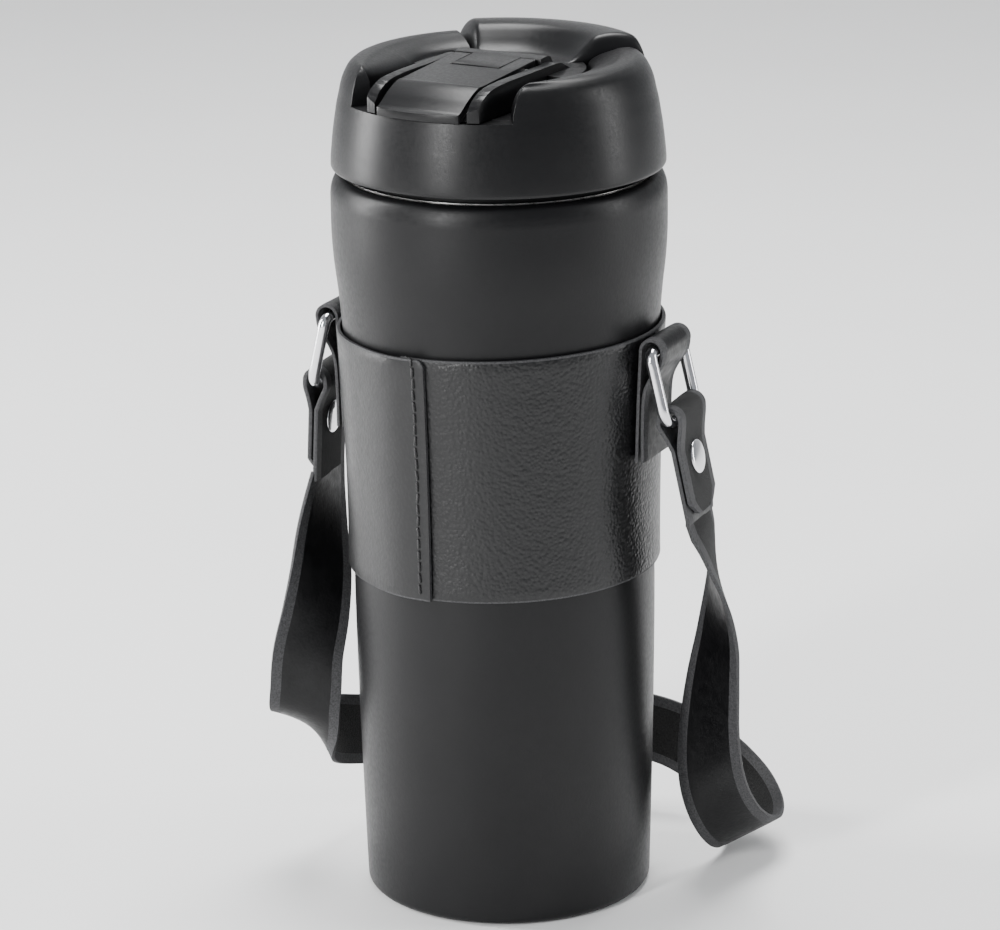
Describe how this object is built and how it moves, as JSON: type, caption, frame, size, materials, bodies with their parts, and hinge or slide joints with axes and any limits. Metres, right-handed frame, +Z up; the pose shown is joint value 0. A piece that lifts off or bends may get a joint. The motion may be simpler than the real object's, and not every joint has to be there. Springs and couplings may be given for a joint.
{
  "type": "canteen",
  "caption": "Double-walled steel travel mug with a screw lid, a flip lever over the spout, a leather sleeve, and a carrying strap riveted round two D-rings.",
  "frame": {"origin": "centre of the base, on the surface that the mug stands on", "axes": "+Z up along the bottle's axis; the drinking side and the lever point to -Y; the D-rings are near +X and -X"},
  "size_m": [0.112, 0.0989, 0.2045],
  "materials": {
    "black_coating": "matte powder coat",
    "base_coating": "matte powder coat",
    "steel": "satin",
    "getter_metal": "sintered, dull",
    "lid_plastic": "satin moulded",
    "bridge_plastic": "satin moulded",
    "lever_plastic": "satin moulded",
    "plug_plastic": "moulded",
    "silicone": "matte",
    "sleeve_leather": "fine pebble grain",
    "strap_leather": "smooth face, suede back",
    "chrome": "polished"
  },
  "bodies": {
    "bottle": {"outer_shell": "black_coating", "base_plate": "base_coating", "inner_liner": "steel", "getter": "getter_metal"},
    "seal": {"lid_gasket": "silicone"},
    "lid": {"lid_shell": "lid_plastic", "lid_plug": "plug_plastic", "drink_tube": "plug_plastic", "lid_bridge": "bridge_plastic", "lever_pin": "steel"},
    "lever": {"flip_lever": "lever_plastic", "spout_stopper": "silicone", "vent_stopper": "silicone"},
    "sleeve": {"sleeve": "sleeve_leather", "tab_left": "strap_leather", "tab_right": "strap_leather", "strap": "strap_leather"},
    "ring_left": {"d_ring_left": "chrome", "strap_end_left": "strap_leather", "rivet_cap_left": "chrome", "rivet_back_left": "chrome"},
    "ring_right": {"d_ring_right": "chrome", "strap_end_right": "strap_leather", "rivet_cap_right": "chrome", "rivet_back_right": "chrome"}
  },
  "joints": [
    {"name": "lid_lift", "type": "slide", "parent": "bottle", "child": "seal", "axis": [0, 0, 1], "range_m": [0, 0.0201]},
    {"name": "lid_turn", "type": "hinge", "parent": "seal", "child": "lid", "pos_m": [0, 0, 0.17], "axis": [0, 0, 1], "range_deg": [0, 900]},
    {"name": "lever_flip", "type": "hinge", "parent": "lid", "child": "lever", "pos_m": [0, -0.0055, 0.1993], "axis": [-1, 0, 0], "range_deg": [0, 130]},
    {"name": "sleeve_slide", "type": "slide", "parent": "bottle", "child": "sleeve", "axis": [0, 0, -1], "range_m": [0, 0.15]},
    {"name": "ring_left_swing", "type": "hinge", "parent": "sleeve", "child": "ring_left", "pos_m": [-0.04163, -0.00328, 0.1372], "axis": [-0.1478, 0.989, 0], "range_deg": [0, 100], "deforming": ["strap"]},
    {"name": "ring_right_swing", "type": "hinge", "parent": "sleeve", "child": "ring_right", "pos_m": [0.04163, 0.00328, 0.1372], "axis": [0.1478, -0.989, 0], "range_deg": [0, 100], "deforming": ["strap"]}
  ],
  "couplings": [
    {"joint": "lid_lift", "follows": "lid_turn", "m_per_rad": 0.0012732}
  ]
}
